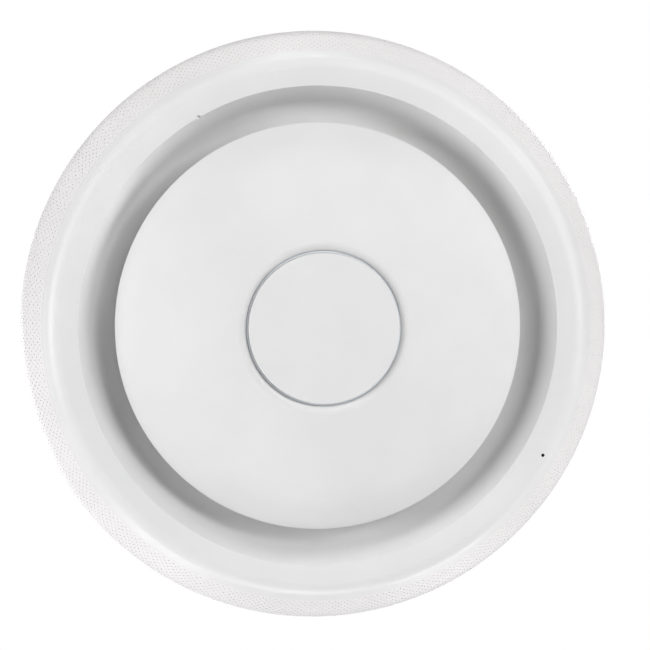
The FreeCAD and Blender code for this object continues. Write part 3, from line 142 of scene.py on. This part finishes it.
def sheet_metal(name, colour, roughness=0.3, spangle=220.0):
    """Plated sheet with faint crystals and fine rolling lines."""
    made = Shader(name, colour, roughness, 1.0)
    crystals = made.add("ShaderNodeTexVoronoi", {"Vector": made.place}, Scale=spangle).outputs["Color"]
    made.tint(made.spread(crystals, 0.0, 1.0), tuple(c * 0.8 for c in colour))
    lines = made.noise(scale=900.0, place=made.stretched((1.0, 0.06, 1.0)))
    gloss = made.spread(lines, roughness - 0.08, roughness + 0.12)
    made.tree.links.new(gloss, made.base.inputs["Roughness"])
    made.bump(lines, strength=0.08, distance=0.05 * MM)
    return made.material


def cast_metal(name, colour, roughness=0.4):
    """Bare or machined metal with a slightly uneven gloss."""
    made = Shader(name, colour, roughness, 1.0)
    made.vary(scale=160.0, darker=0.15, rougher=0.08)
    made.bump(made.noise(scale=1800.0, detail=3.0), strength=0.15, distance=0.05 * MM)
    return made.material


def woven(name, colour):
    """Cloth with threads that cross: one set of waves slants round the part and one runs along it."""
    made = Shader(name, colour, 0.9)
    cross = made.add("ShaderNodeMath", operation="MULTIPLY")
    for number, way in enumerate(("DIAGONAL", "Z")):
        threads = made.add("ShaderNodeTexWave", {"Vector": made.place}, Scale=75.0, bands_direction=way)
        made.tree.links.new(threads.outputs["Fac"], cross.inputs[number])
    made.tint(cross.outputs["Value"], tuple(c * 0.9 for c in colour))
    made.bump(cross.outputs["Value"], strength=0.3, distance=0.1 * MM)
    made.base.inputs["Sheen Weight"].default_value = 0.15
    return made.material


def soft_rubber(name, colour, roughness=0.75):
    """Rubber, ferrite or powder coat: dull, with a fine grain."""
    made = Shader(name, colour, roughness)
    made.vary(scale=120.0, darker=0.2, rougher=0.08)
    made.bump(made.noise(scale=3200.0, detail=4.0), strength=0.3, distance=0.08 * MM)
    return made.material


def circuit_board(name, colour):
    """Solder mask with slightly raised tracks under it."""
    made = Shader(name, colour, 0.35)
    tracks = made.add("ShaderNodeTexBrick", {"Vector": made.place}, Scale=240.0).outputs["Fac"]
    made.tint(made.spread(tracks, 0.0, 1.0), tuple(c * 1.5 + 0.02 for c in colour))
    made.bump(tracks, strength=0.3, distance=0.03 * MM)
    return made.material


def wound_wire(name, colour):
    """Enamelled wire wound on the voice coil's former, one turn beside the other."""
    made = Shader(name, colour, 0.3, 1.0)
    waves = made.add("ShaderNodeTexWave", {"Vector": made.place}, Scale=160.0, bands_direction="Z")
    turns = waves.outputs["Fac"]
    made.tint(turns, tuple(c * 0.7 for c in colour))
    made.bump(turns, strength=0.6, distance=0.1 * MM)
    return made.material


def pressed_paper(name, colour):
    """Dark paper pulp with its lighter fibres."""
    made = Shader(name, colour, 0.85)
    fibres = made.noise(scale=700.0, detail=6.0, place=made.stretched((1.0, 0.3, 1.0)))
    made.tint(made.spread(fibres, 0.0, 1.0), tuple(c * 2.2 for c in colour))
    made.bump(fibres, strength=0.4, distance=0.1 * MM)
    return made.material


def frosted(name, colour):
    """Milky plastic with a satin face, as a light guide looks while its lamps are off."""
    made = Shader(name, colour, 0.35)
    made.vary(scale=90.0, darker=0.05, rougher=0.08)
    made.base.inputs["Subsurface Weight"].default_value = 0.25
    made.base.inputs["Subsurface Radius"].default_value = (2 * MM, 2 * MM, 2 * MM)
    made.bump(made.noise(scale=2400.0), strength=0.1, distance=0.04 * MM)
    return made.material


WHITE = (0.80, 0.80, 0.80)
# material slot: its maker, then the maker's colour and other settings
FINISHES = {
    "shell_white": (moulded, WHITE, 0.45),
    "ring_white": (moulded, (0.81, 0.81, 0.81), 0.4),
    "dome_white": (moulded, WHITE, 0.5, 0.2),
    "cap_white": (moulded, (0.80, 0.80, 0.80), 0.5, 0.2),
    "grille_white": (moulded, (0.84, 0.825, 0.825), 0.5),
    "cloth_white": (woven, (0.80, 0.80, 0.80)),
    "baffle_grey": (moulded, (0.74, 0.74, 0.74), 0.5),
    "inner_plastic": (moulded, (0.62, 0.62, 0.60), 0.55),
    "light_guide": (frosted, (0.75, 0.78, 0.82)),
    "bracket_steel": (sheet_metal, (0.62, 0.63, 0.65), 0.34),
    "screw_steel": (cast_metal, (0.50, 0.50, 0.52), 0.32),
    "lever_plastic": (moulded, (0.42, 0.43, 0.45), 0.5),
    "jack_metal": (sheet_metal, (0.60, 0.60, 0.62), 0.28, 500.0),
    "board_green": (circuit_board, (0.012, 0.11, 0.04)),
    "black_plastic": (moulded, (0.02, 0.02, 0.022), 0.5),
    "component_black": (moulded, (0.02, 0.02, 0.022), 0.55),
    "capacitor_sleeve": (moulded, (0.02, 0.025, 0.06), 0.35),
    "seal_rubber": (soft_rubber, (0.02, 0.02, 0.02)),
    "aluminium_bare": (cast_metal, (0.70, 0.71, 0.72), 0.42),
    "magnet_ferrite": (soft_rubber, (0.03, 0.03, 0.03), 0.6),
    "motor_steel": (cast_metal, (0.55, 0.56, 0.58), 0.35),
    "basket_steel": (soft_rubber, (0.02, 0.02, 0.022), 0.5),
    "cone_paper": (pressed_paper, (0.015, 0.015, 0.015)),
    "edge_rubber": (soft_rubber, (0.012, 0.012, 0.012), 0.6),
    "spider_cloth": (woven, (0.42, 0.22, 0.06)),
    "coil_copper": (wound_wire, (0.60, 0.24, 0.10)),
    "shield_tin": (sheet_metal, (0.65, 0.65, 0.65), 0.3, 400.0),
    "antenna_steel": (sheet_metal, (0.60, 0.59, 0.52), 0.3, 400.0),
    "pad_grey": (soft_rubber, (0.25, 0.30, 0.38), 0.8),
    "led_package": (moulded, (0.80, 0.78, 0.50), 0.2),
    "lead_black": (soft_rubber, (0.015, 0.015, 0.015), 0.55),
    "reset_white": (moulded, (0.70, 0.70, 0.70), 0.45),
}
made_materials = {}


def finish_for(slot):
    """The slot's material, made when it is first asked for."""
    if slot not in made_materials:
        make, *settings = FINISHES[slot]
        made_materials[slot] = make(slot, *settings)
    return made_materials[slot]


def paint_cad_nodes():
    """Gives every CAD node the finish of its slot in the record."""
    for part in frame["record"]["subparts"]:
        mesh = CAD_NODES[part["node"]].data
        mesh.materials.clear()
        mesh.materials.append(finish_for(part["material_slot"]))


# ---- pieces made in mesh code --------------------------------------------------------------------


def piece(name, points, faces, slot, smooth_angle=50.0):
    """A mesh of the script's own that rides the housing."""
    mesh = bpy.data.meshes.new(name)
    mesh.from_pydata(points, [], faces)
    mesh.update()
    mesh.shade_smooth()
    mesh.set_sharp_from_angle(angle=math.radians(smooth_angle))
    mesh.materials.append(finish_for(slot))
    made = bpy.data.objects.new(name, mesh)
    bpy.context.scene.collection.objects.link(made)
    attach(made, HOUSING)
    return made


# ---- perforated side band ------------------------------------------------------------------------

# the side's curve: a wide arc above its widest line, then a tight arc and a straight slope below it
SIDE_ARC = 80 * MM
FRONT_ARC = 18.5 * MM
FRONT_LEAN = math.radians(35)
HOLE_COLUMNS = 288
HOLE_RADIUS = 0.42 * MM
ROW_PITCH = 1.75 * MM
FRONT_ROWS = 15
BAND_MARGIN = 1.2 * MM
BAND_SKIN = 0.16 * MM
RING_REACH = 0.12 * MM
CLOTH_SHEET = 0.4 * MM
CLOTH_GAP = 0.02 * MM
CLOTH_STEPS = 25
# a cell's corners as (row edge, half column), in the order in which its hole's corners come
CELL_CORNERS = ((1, 0), (1, 1), (1, 2), (0, 2), (0, 1), (0, 0))
HEXAGON = tuple(
    (round(math.sin(math.radians(turn)), 6), round(math.cos(math.radians(turn)), 6))
    for turn in (-60, 0, 60, 120, 180, 240)
)


def widest_height(node):
    """The height at which a turned node is widest."""
    spots = np.array([v.co for v in CAD_NODES[node].data.vertices])
    reach = np.hypot(spots[:, 0], spots[:, 1])
    return float(spots[np.argmax(reach), 2])


def band_length(top, bottom, height):
    """How far the band runs along its curve above and below its widest line."""
    above = SIDE_ARC * math.asin((top - height) / SIDE_ARC)
    front_drop = FRONT_ARC * math.sin(FRONT_LEAN)
    below = FRONT_ARC * FRONT_LEAN + (height - bottom - front_drop) / math.cos(FRONT_LEAN)
    return above, below


def side_curve(run, widest, height):
    """Radius, height and outward direction at a run along the side's curve, up being positive."""
    if run >= 0:
        turn = run / SIDE_ARC
        out, up = math.cos(turn), math.sin(turn)
        return widest - SIDE_ARC + SIDE_ARC * out, height + SIDE_ARC * up, out, up
    turn = min(-run / FRONT_ARC, FRONT_LEAN)
    straight = max(-run - FRONT_ARC * FRONT_LEAN, 0.0)
    out, up = math.cos(turn), -math.sin(turn)
    radius = widest - FRONT_ARC + FRONT_ARC * out + straight * up
    return radius, height + FRONT_ARC * up - straight * out, out, up


def perforated_band(name, edges, widest, height, open_rows):
    """A closed skin along the side's curve between row edges, its cells staggered from row to row.

    A cell in an open row has a six-sided hole. Layer 0 is the skin's outer face and layer 1 its inner face.
    """
    half_columns = 2 * HOLE_COLUMNS
    points, numbers, faces = [], {}, []

    def corner(key, layer, run, column):
        """The number of a corner, which is made the first time that its key comes up."""
        if (layer, key) not in numbers:
            radius, z, out, up = side_curve(run, widest, height)
            reach = radius - layer * BAND_SKIN * out
            angle = math.pi * column / HOLE_COLUMNS
            numbers[layer, key] = len(points)
            points.append((reach * math.cos(angle), reach * math.sin(angle), z - layer * BAND_SKIN * up))
        return numbers[layer, key]

    def cell_outline(row, start, layer):
        outline = []
        for edge, column in CELL_CORNERS:
            around = (start + column) % half_columns
            outline.append(corner((row + edge, around), layer, edges[row + edge], around))
        return outline

    def hole_outline(row, start, layer, width):
        middle = (edges[row] + edges[row + 1]) / 2
        outline = []
        for x, y in HEXAGON:
            run, around = middle + HOLE_RADIUS * y, start + 1 + HOLE_RADIUS * x / width
            outline.append(corner((row, start, x, y), layer, run, around))
        return outline

    for row in range(len(edges) - 1):
        width = side_curve((edges[row] + edges[row + 1]) / 2, widest, height)[0] * math.pi / HOLE_COLUMNS
        for start in range(row % 2, half_columns, 2):
            outside, inside = cell_outline(row, start, 0), cell_outline(row, start, 1)
            if row not in open_rows:
                faces += [outside[::-1], inside]
                continue
            hole_out, hole_in = hole_outline(row, start, 0, width), hole_outline(row, start, 1, width)
            for k in range(len(HEXAGON)):
                n = (k + 1) % len(HEXAGON)
                faces.append((outside[n], outside[k], hole_out[k], hole_out[n]))
                faces.append((inside[k], inside[n], hole_in[n], hole_in[k]))
                faces.append((hole_out[n], hole_out[k], hole_in[k], hole_in[n]))
    last = len(edges) - 1
    for column in range(half_columns):
        n = (column + 1) % half_columns
        low_out, low_in = [(numbers[layer, (0, column)], numbers[layer, (0, n)]) for layer in (0, 1)]
        high_out, high_in = [(numbers[layer, (last, column)], numbers[layer, (last, n)]) for layer in (0, 1)]
        faces.append((*low_out, *low_in[::-1]))
        faces.append((*high_out[::-1], *high_in))
    return piece(name, points, faces, "grille_white")


def turned_sheet(name, outer, inner, slot, steps=192):
    """A closed sheet turned about Z between two curves of (radius, height) that run the same way."""
    outline = [*outer, *inner[::-1]]
    total = len(outline)
    points, faces = [], []
    for step in range(steps):
        angle = 2 * math.pi * step / steps
        points += [(r * math.cos(angle), r * math.sin(angle), z) for r, z in outline]
        start, after = step * total, ((step + 1) % steps) * total
        for k in range(total):
            n = (k + 1) % total
            faces.append((start + k, after + k, after + n, start + n))
    return piece(name, points, faces, slot)


def make_grille():
    """The perforated band, as a front and a rear piece with plain margins, and the cloth behind it."""
    low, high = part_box("side_grille")
    widest, height = high.x, widest_height("side_grille")
    above, below = band_length(high.z, low.z, height)
    below += RING_REACH
    usable = above + below - 2 * BAND_MARGIN
    rows = int(usable / ROW_PITCH)
    pitch = usable / rows
    edges = [-below, *(-below + BAND_MARGIN + pitch * n for n in range(rows + 1)), above]
    split = FRONT_ROWS + 1
    front_edges, rear_edges = edges[:split + 1], edges[split:]
    front = perforated_band("grille_front_band", front_edges, widest, height, range(1, split))
    rear = perforated_band("grille_rear_band", rear_edges, widest, height, range(len(rear_edges) - 2))
    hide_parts("side_grille")
    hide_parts("side_grille")

    def cloth_curve(inset):
        curve = []
        for run in np.linspace(-below + BAND_MARGIN / 2, above - BAND_MARGIN / 2, CLOTH_STEPS):
            radius, z, out, up = side_curve(float(run), widest, height)
            curve.append((radius - inset * out, z - inset * up))
        return curve

    cloth_face = BAND_SKIN + CLOTH_GAP
    curves = cloth_curve(cloth_face), cloth_curve(cloth_face + CLOTH_SHEET)
    cloth = turned_sheet("grille_cloth_sheet", *curves, "cloth_white")
    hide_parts("grille_cloth")


# ---- network jacks -------------------------------------------------------------------------------

CONTACT_COUNT = 8
CONTACT_PITCH = 1.02 * MM
CONTACT_HALF = 0.2 * MM
CONTACT_DROP = 2.4 * MM
# how far each bend lies behind the mouth and above the socket's floor, in millimetres
CONTACT_BENDS = ((2.0, 0.25), (3.0, 0.35), (3.8, 0.8), (7.0, 2.2), (10.5, 3.4), (12.6, 3.8))
SHELL_SHEET = 0.1 * MM
SQUARE_CORNERS = ((-1, -1), (1, -1), (1, 1), (-1, 1))


def swept_square(path, half):
    """Points and faces of a square rod along a path in the plane of Y and Z."""
    points, faces = [], []
    side = Vector((1, 0, 0))
    last = len(path) - 1
    for number, spot in enumerate(path):
        run = (path[min(number + 1, last)] - path[max(number - 1, 0)]).normalized()
        up = Vector((0, -run.z, run.y))
        points += [spot + side * (a * half) + up * (b * half) for a, b in SQUARE_CORNERS]
    for number in range(last):
        for k in range(4):
            a, b = 4 * number + k, 4 * number + (k + 1) % 4
            faces.append((a, b, b + 4, a + 4))
    faces.append((3, 2, 1, 0))
    faces.append(tuple(4 * last + k for k in range(4)))
    return points, faces


def make_contacts(node):
    """The jack's spring wires, which rise from the socket's floor towards its back."""
    low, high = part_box(node)
    middle = (low.x + high.x) / 2
    floor = low.z + CONTACT_DROP
    points, faces = [], []
    for number in range(CONTACT_COUNT):
        x = middle + (number - (CONTACT_COUNT - 1) / 2) * CONTACT_PITCH
        path = [Vector((x, high.y - back * MM, floor + rise * MM)) for back, rise in CONTACT_BENDS]
        rod_points, rod_faces = swept_square(path, CONTACT_HALF)
        base = len(points)
        points += rod_points
        faces += [tuple(base + corner for corner in face) for face in rod_faces]
    piece(node + "_contacts", points, faces, "coil_copper", smooth_angle=30.0)


def blacken_sockets(node):
    """Turns the faces inside a jack's metal shell into its black plastic insert."""
    low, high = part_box(node)
    mesh = CAD_NODES[node].data
    mesh.materials.append(finish_for("component_black"))
    for face in mesh.polygons:
        spot = face.center
        if all(low[axis] + SHELL_SHEET < spot[axis] < high[axis] - SHELL_SHEET for axis in range(3)):
            face.material_index = 1


# ---- studio --------------------------------------------------------------------------------------

FLOOR_DROP = 2.6
FLOOR_REACH = 12.0
STUDIO_CENTRE = Vector((0.0, 0.0, -0.068))
CAMERA_DISTANCE = 1.6
CAMERA_DIRECTION = Vector((-0.0827, -0.0347, -1.0))
CAMERA_AIM = Vector((0.00519, 0.00028, -0.068))
CAMERA_LENS = 180.5
CAMERA_SENSOR = 36.0
AMBIENT = 0.15
SOFTBOX_SIDE = 0.7
SOFTBOX_DISTANCE = 2.2
# azimuth and height in degrees, then watts. Azimuth 0 is +X and 90 is -Y. Height 90 is straight below
# the dome, and the heights below zero lie on the ceiling's side.
SOFTBOXES = (
    (180, 10, 16),
    (270, 10, 14),
    (300, -12, 14),
    (30, 50, 12.5),
    (90, -12, 11),
    (180, 30, 10),
    (240, -12, 12),
    (0, 30, 10),
    (30, 10, 9),
    (150, 30, 7),
    (60, 50, 5),
    (200, -55, 12),
    (20, -60, 8),
)


def make_camera():
    """Below the dome and a little to one side, with -Y up in the picture."""
    data = bpy.data.cameras.new("camera")
    data.lens = CAMERA_LENS
    data.sensor_width = CAMERA_SENSOR
    camera = bpy.data.objects.new("camera", data)
    bpy.context.scene.collection.objects.link(camera)
    camera.location = STUDIO_CENTRE + CAMERA_DIRECTION.normalized() * CAMERA_DISTANCE
    back = (camera.location - CAMERA_AIM).normalized()
    right = Vector((0, -1, 0)).cross(back).normalized()
    up = back.cross(right)
    camera.rotation_mode = "QUATERNION"
    camera.rotation_quaternion = Matrix((right, up, back)).transposed().to_quaternion()
    bpy.context.scene.camera = camera


def make_softbox(name, azimuth, height, power):
    """A square area light that faces the studio's centre."""
    turn, lift = math.radians(azimuth), math.radians(height)
    level = math.cos(lift)
    towards = Vector((math.cos(turn) * level, -math.sin(turn) * level, -math.sin(lift)))
    data = bpy.data.lights.new(name, "AREA")
    data.size = SOFTBOX_SIDE
    data.energy = power
    light = bpy.data.objects.new(name, data)
    bpy.context.scene.collection.objects.link(light)
    light.location = STUDIO_CENTRE + towards * SOFTBOX_DISTANCE
    light.rotation_mode = "QUATERNION"
    light.rotation_quaternion = towards.to_track_quat("Z", "Y")


def make_studio():
    """Soft lights, a faint even light from all round, and a white background for the camera."""
    scene = bpy.context.scene
    scene.view_settings.view_transform = "Standard"
    scene.view_settings.look = "None"
    world = bpy.data.worlds.new("studio")
    scene.world = world
    world.use_nodes = True
    nodes, links = world.node_tree.nodes, world.node_tree.links
    seen = nodes["Background"]
    lit = nodes.new("ShaderNodeBackground")
    for background, strength in ((seen, 1.0), (lit, AMBIENT)):
        background.inputs["Color"].default_value = (1, 1, 1, 1)
        background.inputs["Strength"].default_value = strength
    path = nodes.new("ShaderNodeLightPath")
    mix = nodes.new("ShaderNodeMixShader")
    links.new(path.outputs["Is Camera Ray"], mix.inputs[0])
    links.new(lit.outputs["Background"], mix.inputs[1])
    links.new(seen.outputs["Background"], mix.inputs[2])
    links.new(mix.outputs["Shader"], nodes["World Output"].inputs["Surface"])
    for number, (azimuth, height, power) in enumerate(SOFTBOXES, 1):
        make_softbox(f"softbox_{number}", azimuth, height, power)


def make_floor():
    mesh = bpy.data.meshes.new("floor")
    corners = [(FLOOR_REACH * x, FLOOR_REACH * y, 0) for x, y in SQUARE_CORNERS]
    mesh.from_pydata(corners, [], [(0, 1, 2, 3)])
    made = Shader("floor_pale", (0.86, 0.86, 0.86), 0.8)
    made.vary(scale=0.6, darker=0.02, rougher=0.05)
    mesh.materials.append(made.material)
    floor = bpy.data.objects.new("floor", mesh)
    bpy.context.scene.collection.objects.link(floor)
    floor.location.z = -FLOOR_DROP


paint_cad_nodes()
make_grille()
for jack in ("ethernet_jack_main", "ethernet_jack_secondary"):
    make_contacts(jack)
    blacken_sockets(jack)
make_floor()
make_studio()
make_camera()
